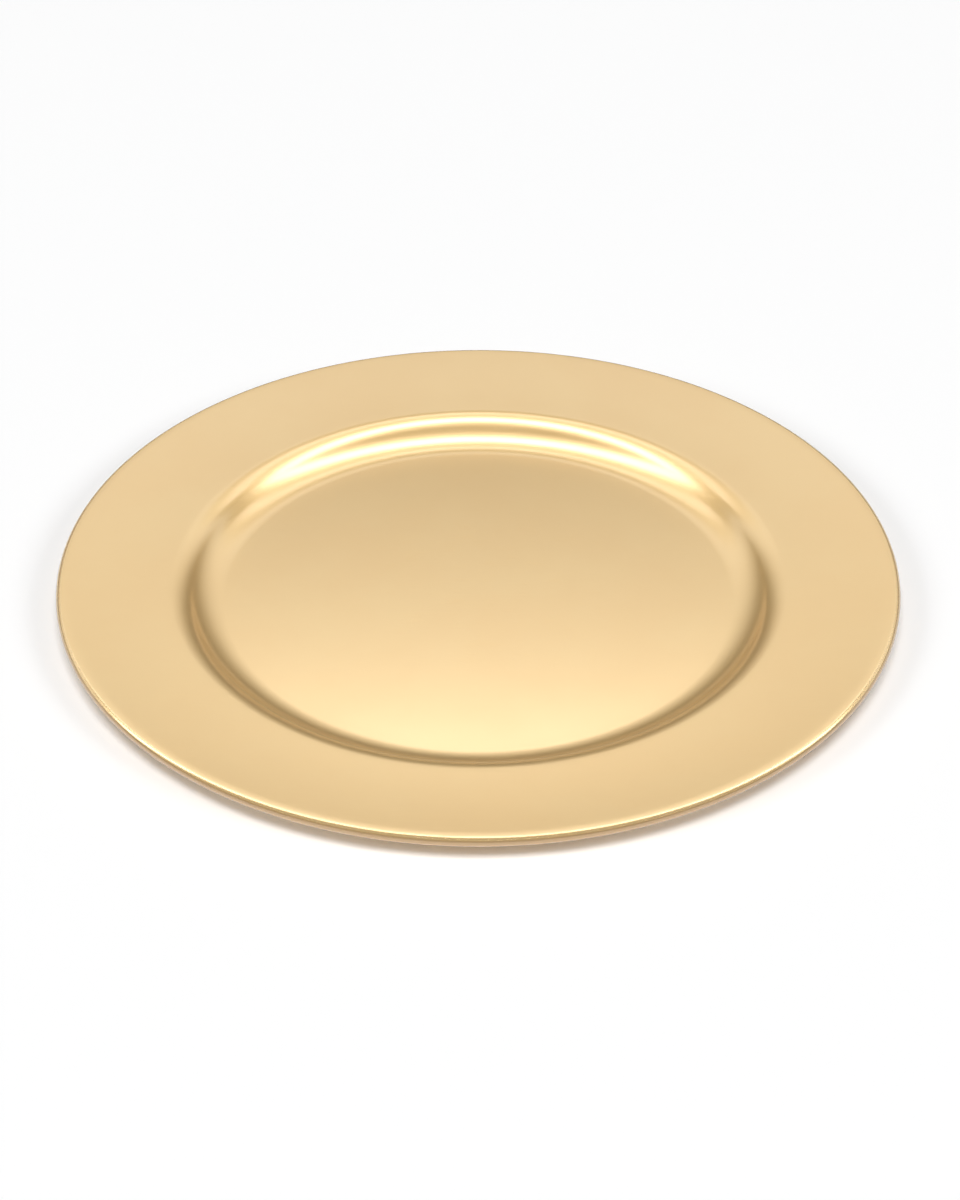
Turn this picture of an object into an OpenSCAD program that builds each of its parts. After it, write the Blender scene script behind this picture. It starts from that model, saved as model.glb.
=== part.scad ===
// Round charger plate: one pressed sheet-metal pan with a shallow well,
// a wide rim and a rolled edge closed over a stiffening wire, standing on
// pads glued under the floor. Millimetres, +Z up. The origin is the
// plate's centre, on the surface that the pads stand on.

/* [Plate] */
// Outside diameter, over the rolled edge
plate_d = 330; // [300:5:360]
// Thickness of the sheet metal
sheet_t = 0.6; // [0.5:0.05:0.8]

/* [Well] */
// Diameter of the floor, where the wall begins to rise
floor_d = 198.8; // [170:0.2:210]
// Height of the floor's centre above the floor's edge
floor_crown = 2.7; // [0.8:0.1:3.5]
// Steepest slope of the wall, in degrees
wall_slope = 45; // [35:1:58]
// Straight length of the wall between its two bends
wall_flank = 0.5; // [0.1:0.1:5]
// Radius of the bend at the foot of the wall, on the upper face
foot_bend_r = 16.8; // [8:0.2:19]
// Radius of the bend at the shoulder, on the upper face
shoulder_r = 12.8; // [5:0.2:15]

/* [Rim] */
// Slope of the rim where it leaves the shoulder, in degrees
rim_slope = 2.1; // [1:0.1:4]
// How far the rim steepens between the shoulder and the brow, in degrees
rim_dish = 3.1; // [0.4:0.1:5]
// Radius of the gentle brow that levels the rim before the roll
brow_r = 46; // [30:2:70]

/* [Rolled edge] */
// Diameter of the stiffening wire
wire_d = 2.7; // [2.2:0.1:3.2]
// Clearance between the wire and the sheet that is rolled round it
wire_clear = 0.05; // [0.02:0.01:0.1]
// Gap between the wire's two ends, where the ring is left open
wire_end_gap = 1.5; // [0.5:0.5:5]
// Slope at which the roll begins, in degrees
roll_slope = 1; // [0:0.5:2]
// How far the sheet turns round the wire, in degrees
roll_turn = 300; // [270:5:305]

/* [Pads] */
// Number of pads under the floor
pad_count = 4; // [3:1:8]
// Diameter of a pad
pad_d = 14; // [8:1:20]
// Height of a pad at its centre
pad_h = 2; // [1.5:0.1:4]
// Thickness of the glue film between a pad and the floor
glue_t = 0.2; // [0.1:0.05:0.4]
// Distance from the floor's edge in to the pads
pad_inset = 4.6; // [2:0.2:20]

/* [Hidden] */

// Colours: gold finish, plain steel wire and dark felt
gold_finish = [0.91, 0.79, 0.59];
wire_steel = [0.62, 0.62, 0.64];
pad_felt = [0.16, 0.13, 0.11];

// Facets along each stretch of the section
floor_facets = 16;
bend_facets = 12;
rim_facets = 8;
brow_facets = 4;
roll_facets = 50;
// Facets round the plate, a pad and the wire
round_fn = 240;
pad_fn = 72;
wire_fn = 48;
// Angle of the first pad, and the side where the wire's ends meet
pad_turn = 45;
wire_turn = 90;
// How far a pad's blank stands past its seat before it is trimmed
overrun = 1;

// Crowned floor: the radius that rises by floor_crown over floor_d
floor_r = floor_d / 2;
crown_r = (floor_r ^ 2 + floor_crown ^ 2) / (2 * floor_crown);
floor_tilt = asin(floor_r / crown_r);

// Radius of the roll's outer face, and slope at the rim's outer end
roll_r = wire_d / 2 + wire_clear + sheet_t;
rim_end_slope = rim_slope + rim_dish;

// Where each stretch starts, as radii from the plate's centre
flank_start_r = floor_r + foot_bend_r * (sin(wall_slope) + sin(floor_tilt));
shoulder_start_r = flank_start_r + wall_flank * cos(wall_slope);
rim_start_r = shoulder_start_r + shoulder_r * (sin(wall_slope) - sin(rim_slope));
roll_centre_r = plate_d / 2 - roll_r;
roll_start_r = roll_centre_r - roll_r * sin(roll_slope);
brow_start_r = roll_start_r - brow_r * (sin(rim_end_slope) - sin(roll_slope));
rim_r = (brow_start_r - rim_start_r) / (sin(rim_end_slope) - sin(rim_slope));

// Upper face of the sheet from the centre outwards. Each stretch is
// [bend radius, slope before, slope after, straight length, facets], and
// the radius is negative where the sheet curves downwards.
floor_dome = [-crown_r, 0, -floor_tilt, 0, floor_facets];
foot_bend = [foot_bend_r, -floor_tilt, wall_slope, 0, bend_facets];
flank = [0, wall_slope, wall_slope, wall_flank, 1];
shoulder = [-shoulder_r, wall_slope, rim_slope, 0, bend_facets];
rim = [rim_r, rim_slope, rim_end_slope, 0, rim_facets];
brow = [-brow_r, rim_end_slope, roll_slope, 0, brow_facets];
roll = [-roll_r, roll_slope, roll_slope - roll_turn, 0, roll_facets];
up_to_roll = [floor_dome, foot_bend, flank, shoulder, rim, brow];
sheet = concat(up_to_roll, [roll]);

// Pads: circle of their centres, and the floor's height above them
pad_circle_r = floor_r - pad_inset - pad_d / 2;
dome_under_r = crown_r - sheet_t;
dome_drop = dome_under_r - sqrt(dome_under_r ^ 2 - pad_circle_r ^ 2);
centre_under = [0, pad_h + glue_t + dome_drop];
centre_top = centre_under + [0, sheet_t];

// Middle of the roll, where the wire lies
roll_start = last_point(centre_top, up_to_roll);
roll_centre = roll_start + roll_r * [sin(roll_slope), -cos(roll_slope)];
wire_gap_turn = asin(wire_end_gap / roll_centre_r);

function pad_name(i) = str("foot_pad_", i);

// Point a share of the way along stretch s, which starts at p. The face
// that lies depth below the upper one bends at a radius larger by depth.
function along(p, s, depth, share) =
    let (a = s[1] + (s[2] - s[1]) * share, bend = s[0] == 0 ? 0 : s[0] + depth)
    p + bend * [sin(a) - sin(s[1]), cos(s[1]) - cos(a)]
      + share * s[3] * [cos(s[2]), sin(s[2])];

// Every point after p on the face that lies depth below the upper one
function face(p, stretches, depth, i = 0) =
    i == len(stretches) ? [] : let (s = stretches[i]) concat(
        [for (k = [1 : s[4]]) along(p, s, depth, k / s[4])],
        face(along(p, s, depth, 1), stretches, depth, i + 1));

function last_point(p, stretches) =
    let (points = face(p, stretches, 0)) points[len(points) - 1];

function reversed(list) = [for (i = [len(list) - 1 : -1 : 0]) list[i]];

// Section of the pan: its upper face out to the end of the roll, and back
// along the under face
module pan_section() {
    upper = concat([centre_top], face(centre_top, sheet, 0));
    under = concat([centre_under], face(centre_under, sheet, sheet_t));
    polygon(concat(upper, reversed(under)));
}

// Space under the crowned floor and its glue, down to the surface that the
// plate stands on
module pad_space_section() {
    glue = centre_under - [0, glue_t];
    seat = concat([glue], face(glue, [floor_dome], sheet_t));
    polygon(concat([[0, 0]], seat, [[seat[len(seat) - 1][0], 0]]));
}

module plate_pan() {
    color(gold_finish)
        rotate_extrude($fn = round_fn) pan_section();
}

// Ring of plain wire, open where its two ends meet inside the roll
module edge_wire() {
    color(wire_steel)
        translate([0, 0, roll_centre[1]])
            rotate([0, 0, wire_turn + wire_gap_turn / 2])
                rotate_extrude(angle = 360 - wire_gap_turn, $fn = round_fn)
                    translate([roll_centre[0], 0]) circle(d = wire_d, $fn = wire_fn);
}

// Felt disc, trimmed to the curve of the floor that it is glued to
module foot_pad(i) {
    color(pad_felt)
        intersection() {
            rotate([0, 0, pad_turn + (i - 1) * 360 / pad_count])
                translate([pad_circle_r, 0, 0])
                    cylinder(h = pad_h + overrun, d = pad_d, $fn = pad_fn);
            rotate_extrude($fn = round_fn) pad_space_section();
        }
}

plate_pan();
edge_wire();
for (i = [1 : pad_count])
    foot_pad(i);
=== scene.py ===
"""Charger plate in satin gold: the looks of its pan, edge wire and felt pads, round the CAD frame.

All sizes are in metres, in the frame's own axes: +Z up, out of the well, and -Y the front.
"""

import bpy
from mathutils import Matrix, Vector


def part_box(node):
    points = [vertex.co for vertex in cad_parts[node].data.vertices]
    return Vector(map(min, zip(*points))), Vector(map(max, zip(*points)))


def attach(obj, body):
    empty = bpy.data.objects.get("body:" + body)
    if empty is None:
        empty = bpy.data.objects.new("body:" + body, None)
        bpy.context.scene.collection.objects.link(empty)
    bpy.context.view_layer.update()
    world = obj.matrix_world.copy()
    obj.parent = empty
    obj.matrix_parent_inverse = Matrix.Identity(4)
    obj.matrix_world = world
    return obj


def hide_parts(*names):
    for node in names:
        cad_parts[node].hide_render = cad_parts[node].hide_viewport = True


bl_info = {
    "name": "Charger Plate",
    "version": (1, 0, 0),
    "blender": (4, 5, 0),
    "location": "3D View > Sidebar > Charger Plate",
    "description": "A pressed metal charger plate with a rolled edge and felt pads, in a studio",
    "category": "Object",
}

from math import asin, atan2, cos, pi, radians, sin

import bpy
from bpy.props import FloatProperty, FloatVectorProperty, IntProperty, PointerProperty
from mathutils import Matrix, Vector

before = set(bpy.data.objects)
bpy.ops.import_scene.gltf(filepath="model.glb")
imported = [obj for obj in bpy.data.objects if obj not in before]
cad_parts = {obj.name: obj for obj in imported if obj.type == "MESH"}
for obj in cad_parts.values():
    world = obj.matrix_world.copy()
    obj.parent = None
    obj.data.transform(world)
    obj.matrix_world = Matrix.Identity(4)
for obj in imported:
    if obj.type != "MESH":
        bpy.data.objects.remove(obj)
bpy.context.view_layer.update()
PAN_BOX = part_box("plate_pan")
PADS = sorted(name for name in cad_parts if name.startswith("foot_pad_"))

MM = 0.001
UP = Vector((0, 0, 1))
WHITE = (1, 1, 1)
# Two points nearer than this are one
CLOSE = 1e-6
# Edges of the sheet and of the felt that bend by more than this stay sharp
SHEET_CREASE, FELT_CREASE = radians(40), radians(50)


# Sizes and colours

def length(name, description, millimetres):
    return FloatProperty(name=name, description=description, default=millimetres * MM, min=0,
                         unit="LENGTH", subtype="DISTANCE", precision=4)


def slope(name, description, angle):
    return FloatProperty(name=name, description=description, default=radians(angle),
                         unit="ROTATION", subtype="ANGLE")


def finish_colour(name, description, value):
    return FloatVectorProperty(name=name, description=description, default=value, size=3,
                               min=0, max=1, subtype="COLOR")


class PlateSizes(bpy.types.PropertyGroup):
    """Section of the pressed sheet and sizes of the pads, as in the part's source"""
    plate_d: FloatProperty(name="Plate diameter", default=2 * PAN_BOX[1].x, min=0,
                           description="Outside diameter, over the rolled edge",
                           unit="LENGTH", subtype="DISTANCE")
    sheet_t: length("Sheet", "Thickness of the sheet metal", 0.6)
    floor_d: length("Floor diameter", "Diameter of the floor, where the wall begins to rise", 198.8)
    floor_crown: length("Floor crown", "Height of the floor's centre above its edge", 2.7)
    wall_slope: slope("Wall slope", "Steepest slope of the wall", 45)
    wall_flank: length("Wall flank", "Straight length of the wall between its bends", 0.5)
    foot_bend_r: length("Foot bend", "Radius of the bend at the foot of the wall", 16.8)
    shoulder_r: length("Shoulder", "Radius of the bend at the top of the wall", 12.8)
    rim_slope: slope("Rim slope", "Slope of the rim where it leaves the shoulder", 2.1)
    rim_dish: slope("Rim dish", "How far the rim steepens towards its brow", 3.1)
    brow_r: length("Brow", "Radius of the gentle brow that levels the rim before the roll", 46)
    roll_r: length("Roll", "Outer radius of the rolled edge", 2)
    roll_slope: slope("Roll slope", "Slope at which the roll begins", 1)
    roll_turn: slope("Roll turn", "How far the sheet turns round the wire", 300)
    pad_h: length("Pad height", "Height of a felt pad at its centre", 2)
    pad_edge: length("Pad edge", "Rounding of a felt pad's lower edge", 0.4)
    pad_fuzz: length("Pad fuzz", "Unevenness of a felt pad's cut side", 0.04)
    steps_round: IntProperty(name="Steps round", description="Facets round the pan", default=256,
                             min=48)


class PlateColours(bpy.types.PropertyGroup):
    """Colours of the finishes"""
    gold: finish_colour("Gold", "Gold finish of the pan", (0.90, 0.62, 0.25))
    gold_warm: finish_colour("Warm gold", "Gold where the finish is thicker", (0.89, 0.60, 0.235))
    # Partly edge wear, partly a painted highlight along the top of the bead
    gold_bright: finish_colour("Bright gold", "Gold rubbed bright on the rolled edge",
                               (0.92, 0.65, 0.29))
    # Painted shade: darker gold that stands in for the shade and dark reflection under the bead
    gold_painted_shade: finish_colour("Dull gold", "Duller gold on the lower half of the rolled edge",
                             (0.5, 0.3, 0.11))
    steel: finish_colour("Steel", "Drawn steel wire", (0.55, 0.55, 0.57))
    steel_dull: finish_colour("Dull steel", "Duller patches of the wire", (0.42, 0.41, 0.41))
    felt: finish_colour("Felt", "Felt of the pads", (0.03, 0.024, 0.02))
    felt_worn: finish_colour("Worn felt", "Raised fibres of the felt", (0.075, 0.062, 0.052))
    table: finish_colour("Table", "Plain white surface that the plate stands on", (0.9, 0.9, 0.9))


# Node helpers

def new_material(name):
    material = bpy.data.materials.new(name)
    material.use_nodes = True
    material.node_tree.nodes.clear()
    return material, material.node_tree


def put(tree, socket, value):
    """Gives a socket a value, or links another node's output to it"""
    if isinstance(value, bpy.types.NodeSocket):
        tree.links.new(value, socket)
    elif socket.type == "RGBA":
        socket.default_value = (*value, 1)
    else:
        socket.default_value = value


def add(tree, kind, settings=None, **inputs):
    """A node of this kind with its settings and its inputs, whose names have _ for each space"""
    node = tree.nodes.new("ShaderNode" + kind)
    for key, value in (settings or {}).items():
        setattr(node, key, value)
    for key, value in inputs.items():
        put(tree, node.inputs[key.replace("_", " ")], value)
    return node


def noise(tree, place, scale, detail=2.0, stretch=(1, 1, 1), turn=0.0):
    """Noise of so many features per metre, times stretch along each axis, and turned about Z"""
    mapping = add(tree, "Mapping", Vector=place, Scale=stretch, Rotation=(0, 0, turn))
    texture = add(tree, "TexNoise", Vector=mapping.outputs["Vector"], Scale=scale, Detail=detail)
    return texture.outputs["Fac"]


def spread(tree, value, low, high, to_low=0.0, to_high=1.0, smooth=False):
    """Value carried from low..high to to_low..to_high, and held there beyond"""
    node = add(tree, "MapRange", {"interpolation_type": "SMOOTHSTEP" if smooth else "LINEAR"},
               Value=value, From_Min=low, From_Max=high, To_Min=to_low, To_Max=to_high)
    return node.outputs["Result"]


def maths(tree, operation, *values):
    node = add(tree, "Math", {"operation": operation})
    for socket, value in zip(node.inputs, values):
        put(tree, socket, value)
    return node.outputs["Value"]


def weigh(tree, total, *terms):
    """The total plus every term, each a value and the number that it is multiplied by"""
    for value, weight in terms:
        total = maths(tree, "MULTIPLY_ADD", value, weight, total)
    return total


def blend(tree, share, first, second):
    """Colour between first and second; 6, 7 and 2 are the node's sockets for colours"""
    node = add(tree, "Mix", {"data_type": "RGBA"})
    put(tree, node.inputs[0], share)
    put(tree, node.inputs[6], first)
    put(tree, node.inputs[7], second)
    return node.outputs[2]


def mix_shaders(tree, share, first, second):
    """First where the share is 0, second where it is 1"""
    node = add(tree, "MixShader", Fac=share)
    put(tree, node.inputs[1], first.outputs[0])
    put(tree, node.inputs[2], second.outputs[0])
    return node


def radius_of(tree, place):
    """Distance from the plate's axis"""
    flat = add(tree, "VectorMath", {"operation": "MULTIPLY"})
    put(tree, flat.inputs[0], place)
    put(tree, flat.inputs[1], (1, 1, 0))
    distance = add(tree, "VectorMath", {"operation": "LENGTH"})
    put(tree, distance.inputs[0], flat.outputs["Vector"])
    return distance.outputs["Value"]


def surface(tree, height, depth, **inputs):
    """The material's surface: a shader with these inputs, and fine relief of this depth in it"""
    relief = add(tree, "Bump", Strength=1.0, Distance=depth, Height=height)
    shader = add(tree, "BsdfPrincipled", Normal=relief.outputs["Normal"], **inputs)
    add(tree, "OutputMaterial", Surface=shader.outputs["BSDF"])


# Materials

# Zones of the gold finish: radii between which the strokes near the middle end, radii between
# which the bead's rubbed part (wear and a painted highlight) and its painted shade begin, and
# heights where the painted shade ends
STROKES_END = (0.035, 0.075)
WEAR_AND_HIGHLIGHT_START = (0.1626, 0.164)
PAINTED_SHADE_START = (0.1632, 0.1638)
PAINTED_SHADE_TOP = (0.0127, 0.0134)


def satin_gold():
    """Gold finish: soft mottling, a fine satin grain, faint strokes of the polishing cloth near
    the middle, a bead rubbed lighter on top, which is partly wear and partly a painted highlight,
    and painted shade that darkens the bead's lower half"""
    material, tree = new_material("satin_gold")
    colours = bpy.context.scene.plate_colours
    place = add(tree, "TexCoord").outputs["Object"]
    radius = radius_of(tree, place)
    height = add(tree, "SeparateXYZ", Vector=place).outputs["Z"]

    cloudy = noise(tree, place, 22, detail=3)
    patchy = noise(tree, place, 75)
    grain = noise(tree, place, 420, stretch=(0.12, 1, 1))
    cross_grain = noise(tree, place, 380, stretch=(0.2, 1, 1), turn=radians(20))
    cloth = noise(tree, place, 240, detail=4, stretch=(0.45, 1, 1), turn=radians(-12))
    strokes = maths(tree, "MULTIPLY", spread(tree, cloth, 0.56, 0.7),
                    spread(tree, radius, *STROKES_END, 1, 0, smooth=True))
    # Lighter, smoother gold on the outer bead: partly edge wear, partly a painted highlight
    wear_and_highlight = maths(tree, "MULTIPLY", spread(tree, radius, *WEAR_AND_HIGHLIGHT_START, smooth=True),
                   spread(tree, patchy, 0.35, 0.65, 0.5, 1))
    # Painted shade: the bead's lower half is coloured darker and rougher where shade and a dark
    # reflection fall
    darkening = maths(tree, "MULTIPLY", spread(tree, height, *PAINTED_SHADE_TOP, 1, 0, smooth=True),
                 spread(tree, radius, *PAINTED_SHADE_START, smooth=True))

    gold = blend(tree, spread(tree, cloudy, 0.3, 0.7, smooth=True), colours.gold, colours.gold_warm)
    # Lighter gold on the bead, partly wear and partly a painted highlight
    gold = blend(tree, wear_and_highlight, gold, colours.gold_bright)
    # Painted shade on the bead's lower half
    gold = blend(tree, darkening, gold, colours.gold_painted_shade)

    satin = spread(tree, maths(tree, "ADD", cloudy, patchy), 0.7, 1.3, 0.284, 0.304)
    fine = spread(tree, grain, 0.3, 0.7, -0.004, 0.004)
    roughness = weigh(tree, maths(tree, "ADD", satin, fine),
                      (strokes, 0.09), (wear_and_highlight, -0.06), (darkening, 0.15))
    scratches = weigh(tree, 0, (grain, 0.5), (cross_grain, 0.5), (strokes, -0.5))

    # A strongly reflecting coat, over metal that scatters a part of the light
    surface(tree, scratches, 0.04 * MM, Base_Color=gold, Metallic=0.7, Roughness=roughness,
            Coat_Weight=1.0, Coat_Roughness=0.2, Coat_IOR=2.2)
    return material


def drawn_steel():
    """Plain steel wire with fine die marks"""
    material, tree = new_material("drawn_steel")
    colours = bpy.context.scene.plate_colours
    place = add(tree, "TexCoord").outputs["Object"]
    darkening = noise(tree, place, 120, detail=3)
    marks = noise(tree, place, 2500, stretch=(0.3, 0.3, 1))
    colour = blend(tree, spread(tree, darkening, 0.35, 0.65), colours.steel, colours.steel_dull)
    roughness = spread(tree, maths(tree, "ADD", darkening, marks), 0.7, 1.3, 0.28, 0.42)
    surface(tree, marks, 0.005 * MM, Base_Color=colour, Metallic=1.0, Roughness=roughness)
    return material


def pressed_felt():
    """Dark felt: matted fibres, lighter where they stand up"""
    material, tree = new_material("pressed_felt")
    colours = bpy.context.scene.plate_colours
    place = add(tree, "TexCoord").outputs["Object"]
    matted = noise(tree, place, 600, detail=4)
    fibres = noise(tree, place, 3500, detail=3, stretch=(1, 0.35, 1), turn=radians(35))
    other_fibres = noise(tree, place, 3500, detail=3, stretch=(0.35, 1, 1), turn=radians(10))
    fuzz = maths(tree, "MAXIMUM", fibres, other_fibres)
    colour = blend(tree, spread(tree, fuzz, 0.5, 0.75), colours.felt, colours.felt_worn)
    surface(tree, maths(tree, "ADD", fuzz, matted), 0.1 * MM, Base_Color=colour,
            Roughness=spread(tree, matted, 0.3, 0.7, 0.9, 1), Sheen_Weight=0.3, Sheen_Roughness=0.5)
    return material


# Modelling helpers

def start_fresh():
    """Leaves edit mode and deselects everything, the frame's own nodes included"""
    if bpy.context.object and bpy.context.object.mode != "OBJECT":
        bpy.ops.object.mode_set(mode="OBJECT")
    bpy.ops.object.select_all(action="DESELECT")


def select_in_edit(piece, kind, wanted):
    """Goes into edit mode with only the wanted vertices or edges of the piece selected"""
    bpy.ops.object.mode_set(mode="EDIT")
    bpy.ops.mesh.select_mode(type=kind)
    bpy.ops.mesh.select_all(action="DESELECT")
    bpy.ops.object.mode_set(mode="OBJECT")
    corners = [vertex.co for vertex in piece.data.vertices]
    parts = piece.data.vertices if kind == "VERT" else piece.data.edges
    for part in parts:
        ends = [part.co] if kind == "VERT" else [corners[index] for index in part.vertices]
        part.select = wanted(*ends)
    bpy.ops.object.mode_set(mode="EDIT")


def crown_radius(sizes):
    """Radius of the crowned floor, which rises by its crown over half its diameter"""
    return ((sizes.floor_d / 2) ** 2 + sizes.floor_crown ** 2) / (2 * sizes.floor_crown)


def along(point, stretch, share):
    """Point a share of the way along a stretch of the section that starts at point"""
    bend, before, after, straight, _steps = stretch
    turned = before + (after - before) * share
    return Vector((
        point.x + bend * (sin(turned) - sin(before)) + share * straight * cos(after),
        point.y + bend * (cos(before) - cos(turned)) + share * straight * sin(after)))


def upper_face(sizes):
    """Upper face of the sheet as (radius, height) points, from the centre to the end of the roll"""
    floor_r, crown_r = sizes.floor_d / 2, crown_radius(sizes)
    tilt = asin(floor_r / crown_r)
    wall, rim_slope, roll_slope = sizes.wall_slope, sizes.rim_slope, sizes.roll_slope
    rim_end = rim_slope + sizes.rim_dish
    flank_start = floor_r + sizes.foot_bend_r * (sin(wall) + sin(tilt))
    shoulder_start = flank_start + sizes.wall_flank * cos(wall)
    rim_start = shoulder_start + sizes.shoulder_r * (sin(wall) - sin(rim_slope))
    roll_start = sizes.plate_d / 2 - sizes.roll_r * (1 + sin(roll_slope))
    brow_start = roll_start - sizes.brow_r * (sin(rim_end) - sin(roll_slope))
    rim_r = (brow_start - rim_start) / (sin(rim_end) - sin(rim_slope))

    # Each stretch: radius of its bend, negative where the sheet curves down, the slopes before
    # and after it, its straight length, and its steps
    crowned_floor = (-crown_r, 0, -tilt, 0, 14)
    foot_bend = (sizes.foot_bend_r, -tilt, wall, 0, 22)
    flank = (0, wall, wall, sizes.wall_flank, 1)
    shoulder = (-sizes.shoulder_r, wall, rim_slope, 0, 20)
    rim = (rim_r, rim_slope, rim_end, 0, 14)
    brow = (-sizes.brow_r, rim_end, roll_slope, 0, 6)
    roll = (-sizes.roll_r, roll_slope, roll_slope - sizes.roll_turn, 0, 32)

    points = [Vector((0, 0))]
    for stretch in (crowned_floor, foot_bend, flank, shoulder, rim, brow, roll):
        start, steps = points[-1], stretch[-1]
        points += [along(start, stretch, step / steps) for step in range(1, steps + 1)]
    drop = PAN_BOX[1].z - max(point.y for point in points)
    return [point + Vector((0, drop)) for point in points]


def spin_sheet(name, points, steps, thickness):
    """A sheet of metal spun round the plate's axis from the points of its upper face"""
    start_fresh()
    first = points[0]
    bpy.ops.mesh.primitive_plane_add(size=MM, location=(first.x, 0, first.y))
    piece = bpy.context.object
    piece.name = piece.data.name = name
    bpy.ops.object.transform_apply(location=True, rotation=True, scale=True)

    # The small plane is merged to one point, which is drawn out along the section
    bpy.ops.object.mode_set(mode="EDIT")
    bpy.ops.mesh.select_mode(type="VERT")
    bpy.ops.mesh.select_all(action="SELECT")
    bpy.ops.mesh.merge(type="CENTER")
    for before, after in zip(points, points[1:]):
        step = after - before
        bpy.ops.mesh.extrude_vertices_move(TRANSFORM_OT_translate={"value": (step.x, 0, step.y)})
    bpy.ops.mesh.select_all(action="SELECT")
    bpy.ops.mesh.spin(steps=steps, angle=2 * pi, center=(0, 0, 0), axis=(0, 0, 1))
    bpy.ops.mesh.select_all(action="SELECT")
    bpy.ops.mesh.remove_doubles(threshold=CLOSE)
    bpy.ops.mesh.normals_make_consistent(inside=False)
    bpy.ops.object.mode_set(mode="OBJECT")

    # The upper face has to point up before the sheet gets its thickness under it
    middle = min(piece.data.polygons, key=lambda face: face.center.xy.length)
    if middle.normal.z < 0:
        bpy.ops.object.mode_set(mode="EDIT")
        bpy.ops.mesh.select_all(action="SELECT")
        bpy.ops.mesh.flip_normals()
        bpy.ops.object.mode_set(mode="OBJECT")
    wall = piece.modifiers.new("sheet", "SOLIDIFY")
    wall.thickness = thickness
    wall.offset = -1
    wall.use_even_offset = True
    bpy.ops.object.modifier_apply(modifier=wall.name)
    bpy.ops.object.shade_smooth_by_angle(angle=SHEET_CREASE)
    return piece


def cut_felt(name, box, sizes):
    """A felt disc whose top is cut along the floor over it and whose lower edge is pressed round"""
    low, high = box
    middle = (low + high) / 2
    radius = (high.x - low.x) / 2
    outwards = Vector((middle.x, middle.y, 0))
    tilt = asin(outwards.length / crown_radius(sizes))
    lean = outwards.normalized() * sin(tilt) + UP * cos(tilt)
    start_fresh()
    bpy.ops.mesh.primitive_cylinder_add(vertices=96, radius=radius, depth=2 * high.z,
                                        location=(middle.x, middle.y, high.z))
    pad = bpy.context.object
    pad.name = pad.data.name = name
    bpy.ops.object.transform_apply(location=True, rotation=True, scale=True)
    bpy.ops.object.mode_set(mode="EDIT")
    bpy.ops.mesh.select_all(action="SELECT")
    bpy.ops.mesh.bisect(plane_co=(middle.x, middle.y, sizes.pad_h), plane_no=lean,
                        use_fill=True, clear_outer=True)

    # Cuts across the upright edges, a round on the lower ones, and a rough side above it
    select_in_edit(pad, "EDGE", lambda a, b: (a.xy - b.xy).length < CLOSE)
    bpy.ops.mesh.subdivide(number_cuts=4)
    select_in_edit(pad, "EDGE", lambda a, b: max(a.z, b.z) < CLOSE)
    bpy.ops.mesh.bevel(offset=sizes.pad_edge, segments=4)
    side_base, side_r = sizes.pad_edge + CLOSE, 0.9 * radius
    select_in_edit(pad, "VERT", lambda a: side_base < a.z and (a.xy - middle.xy).length > side_r)
    bpy.ops.transform.vertex_random(offset=sizes.pad_fuzz, uniform=0, normal=0, seed=7)
    bpy.ops.object.mode_set(mode="OBJECT")
    bpy.ops.object.shade_smooth_by_angle(angle=FELT_CREASE)
    return pad


# Operators

class PLATE_OT_pan(bpy.types.Operator):
    """Spins the pan from its section and rolls its edge round the wire"""
    bl_idname = "plate.pan"
    bl_label = "Pan"

    def execute(self, context):
        sizes = context.scene.plate_sizes
        pan = spin_sheet("pan", upper_face(sizes), sizes.steps_round, sizes.sheet_t)
        pan.data.materials.append(satin_gold())
        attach(pan, "root")
        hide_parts("plate_pan")
        return {"FINISHED"}


class PLATE_OT_wire(bpy.types.Operator):
    """Gives the stiffening wire inside the rolled edge its drawn steel finish"""
    bl_idname = "plate.wire"
    bl_label = "Edge wire"

    def execute(self, context):
        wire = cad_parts["edge_wire"]
        wire.data.materials.clear()
        wire.data.materials.append(drawn_steel())
        return {"FINISHED"}


class PLATE_OT_pads(bpy.types.Operator):
    """Cuts one felt pad to the floor's curve and copies it round the plate"""
    bl_idname = "plate.pads"
    bl_label = "Felt pads"

    def execute(self, context):
        boxes = {node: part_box(node) for node in PADS}
        turns = {node: atan2(low.y + high.y, low.x + high.x)
                 for node, (low, high) in boxes.items()}
        first = PADS[0]
        pattern = cut_felt(first.replace("foot", "felt"), boxes[first], context.scene.plate_sizes)
        pattern.data.materials.append(pressed_felt())
        pads = {first: pattern}
        for node in PADS[1:]:
            pad = pattern.copy()
            pad.data = pattern.data.copy()
            pad.name = pad.data.name = node.replace("foot", "felt")
            pad.data.transform(Matrix.Rotation(turns[node] - turns[first], 4, "Z"))
            context.scene.collection.objects.link(pad)
            pads[node] = pad
        for node, pad in pads.items():
            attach(pad, "root")
            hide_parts(node)
        return {"FINISHED"}


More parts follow.
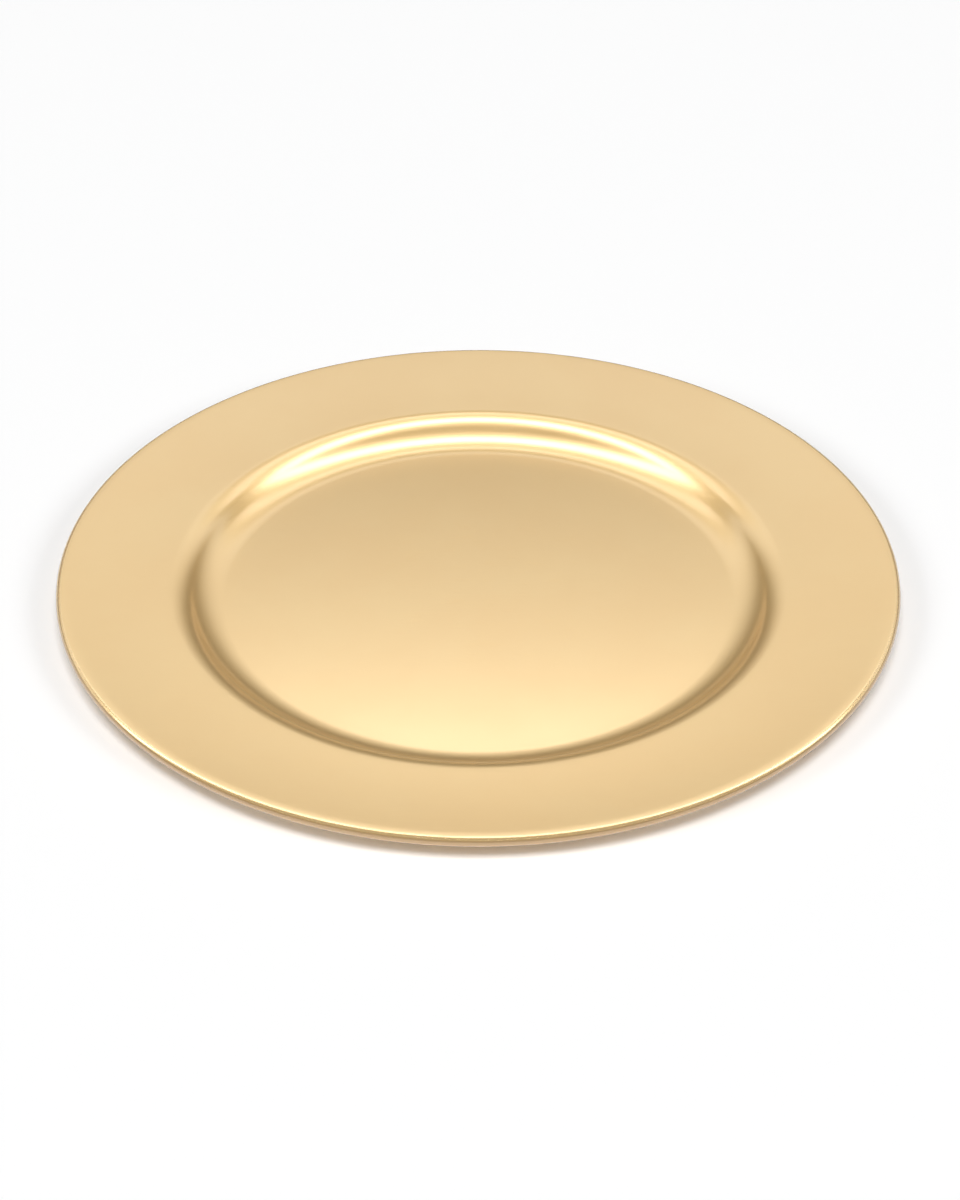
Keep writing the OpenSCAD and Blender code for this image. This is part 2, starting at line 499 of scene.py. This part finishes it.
class PLATE_OT_stage(bpy.types.Operator):
    """Sets the plate on a white table under soft studio light, with the camera at its front"""
    bl_idname = "plate.stage"
    bl_label = "Stage"

    # The table's side, how far it lies below the pads, and how much it glows of itself
    table_size, table_gap, table_glow = 8, 0.05 * MM, 0.06
    # How much of the white all round lights what isn't shiny
    room_light = 0.04
    # Angle up from the horizon behind the plate and over to the camera's side, in degrees, and
    # how bright the room that the gold mirrors is there
    room = ((0, 0.12), (12, 0.15), (20, 0.26), (28, 0.53), (33, 0.74), (37, 0.81), (42, 1.3),
            (46, 0.6), (50, 0.2), (62, 0.2), (100, 0.3), (125, 0.3), (145, 0.25), (155, 0.45),
            (180, 0.5))
    # The room is the warmer the dimmer it is: the power of its brightness in each channel
    warmth = (0.92, 1, 1.12)
    # Softboxes that face the plate's centre and light the table, and that the gold doesn't
    # mirror: name, place, size and radiance
    lights = (
        ("front", (0, -21, 32), (16, 9), 27.5),
        ("left", (-24, -18, 21), (12, 12), 8),
        ("right", (24, -18, 21), (12, 12), 8),
    )
    # Softboxes that face straight down and show only in the gold
    reflections = (
        ("overhead", (0, 0.1, 0.5), (2.2, 0.14), 3.2),
        ("overhead_glow", (0, 0.08, 0.51), (2.0, 0.36), 0.6),
        ("window", (0, 0.36, 0.49), (0.76, 0.12), 1.5),
    )
    # The camera's distance from the middle of the bead, its angle over that point, and the
    # nearest and farthest that it sees
    distance, elevation = 1.4, radians(35.46)
    nearest, farthest = 0.05, 50
    # In pixels: the focal length, the picture's width and height, and the bead's middle in it
    focal = 3568.0
    picture_w, picture_h = 960, 1200
    bead_x, bead_y = 478.3, 574.9
    # Length of the picture's longer side on the sensor, in millimetres
    sensor = 36

    def execute(self, context):
        self.table(context)
        self.studio(context)
        self.camera(context)
        return {"FINISHED"}

    def table(self, context):
        start_fresh()
        bpy.ops.mesh.primitive_plane_add(size=self.table_size, location=(0, 0, -self.table_gap))
        table = context.object
        table.name = "table"
        material, tree = new_material("white_table")
        paint = add(tree, "BsdfDiffuse", Color=context.scene.plate_colours.table)
        glow = add(tree, "Emission", Color=WHITE, Strength=self.table_glow)
        both = add(tree, "AddShader")
        put(tree, both.inputs[0], paint.outputs[0])
        put(tree, both.inputs[1], glow.outputs[0])
        add(tree, "OutputMaterial", Surface=both.outputs[0])
        table.data.materials.append(material)

    def studio(self, context):
        """White for the camera, little for the table, and for the metal a pale room that is
        brightest behind the plate and dim low down and overhead, where the softboxes are"""
        world = bpy.data.worlds.new("studio")
        context.scene.world = world
        world.use_nodes = True
        tree = world.node_tree
        tree.nodes.clear()
        path = add(tree, "LightPath")
        towards = add(tree, "SeparateXYZ", Vector=add(tree, "TexCoord").outputs["Generated"])
        climb = maths(tree, "ARCTAN2", towards.outputs["Z"], towards.outputs["Y"])
        ramp = add(tree, "ValToRGB", Fac=spread(tree, climb, 0, pi))
        stops = ramp.color_ramp.elements
        while len(stops) < len(self.room):
            stops.new(1)
        for stop, (angle, level) in zip(stops, self.room):
            stop.position = angle / 180
            stop.color = (*(level ** power for power in self.warmth), 1)
        room = add(tree, "Background", Color=ramp.outputs["Color"], Strength=1.0)
        white = add(tree, "Background", Color=WHITE, Strength=1.0)
        soft = add(tree, "Background", Color=WHITE, Strength=self.room_light)
        lighting = mix_shaders(tree, path.outputs["Is Glossy Ray"], soft, room)
        everything = mix_shaders(tree, path.outputs["Is Camera Ray"], lighting, white)
        add(tree, "OutputWorld", Surface=everything.outputs[0])
        for lamp in self.lights:
            self.softbox(*lamp, mirrored=False)
        for lamp in self.reflections:
            self.softbox(*lamp, mirrored=True)

    def softbox(self, name, place, size, radiance, mirrored):
        """A rectangular softbox that glows evenly"""
        bpy.ops.object.light_add(type="AREA", location=place)
        lamp = bpy.context.object
        lamp.name = name
        lamp.data.shape = "RECTANGLE"
        lamp.data.size, lamp.data.size_y = size
        lamp.data.energy = radiance * pi * size[0] * size[1]
        lamp.rotation_mode = "QUATERNION"
        lamp.rotation_quaternion = (UP if mirrored else Vector(place)).to_track_quat("Z", "Y")
        lamp.visible_camera = False
        lamp.visible_glossy = mirrored
        lamp.visible_diffuse = not mirrored

    def camera(self, context):
        data = bpy.data.cameras.new("camera")
        camera = bpy.data.objects.new("camera", data)
        context.scene.collection.objects.link(camera)
        data.sensor_fit = "AUTO"
        data.sensor_width = self.sensor
        data.lens = self.focal * self.sensor / self.picture_h
        data.clip_start, data.clip_end = self.nearest, self.farthest
        back = Vector((0, -cos(self.elevation), sin(self.elevation)))
        right, up = Vector((1, 0, 0)), Vector((0, sin(self.elevation), cos(self.elevation)))
        bead = Vector((0, 0, PAN_BOX[1].z - context.scene.plate_sizes.roll_r))
        eye = bead + back * self.distance
        across, upwards = self.picture_w / 2 - self.bead_x, self.bead_y - self.picture_h / 2
        aim = bead + (right * across + up * upwards) * self.distance / self.focal
        camera.location = eye
        camera.rotation_mode = "QUATERNION"
        camera.rotation_quaternion = (eye - aim).to_track_quat("Z", "Y")
        context.scene.camera = camera
        context.scene.view_settings.view_transform = "Standard"


class PLATE_PT_panel(bpy.types.Panel):
    """Sizes, colours and pieces of the charger plate"""
    bl_idname = "PLATE_PT_panel"
    bl_label = "Charger Plate"
    bl_space_type = "VIEW_3D"
    bl_region_type = "UI"
    bl_category = "Charger Plate"

    def draw(self, context):
        for group in (context.scene.plate_sizes, context.scene.plate_colours):
            for key in group.__annotations__:
                self.layout.prop(group, key)
        for operator in PIECES:
            self.layout.operator(operator.bl_idname)


PIECES = (PLATE_OT_pan, PLATE_OT_wire, PLATE_OT_pads, PLATE_OT_stage)
CLASSES = (PlateSizes, PlateColours, *PIECES, PLATE_PT_panel)


def register():
    for cls in CLASSES:
        bpy.utils.register_class(cls)
    bpy.types.Scene.plate_sizes = PointerProperty(type=PlateSizes)
    bpy.types.Scene.plate_colours = PointerProperty(type=PlateColours)


def unregister():
    del bpy.types.Scene.plate_colours
    del bpy.types.Scene.plate_sizes
    for cls in reversed(CLASSES):
        bpy.utils.unregister_class(cls)


def main():
    register()
    bpy.ops.plate.pan()
    bpy.ops.plate.wire()
    bpy.ops.plate.pads()
    bpy.ops.plate.stage()


if __name__ == "__main__":
    main()
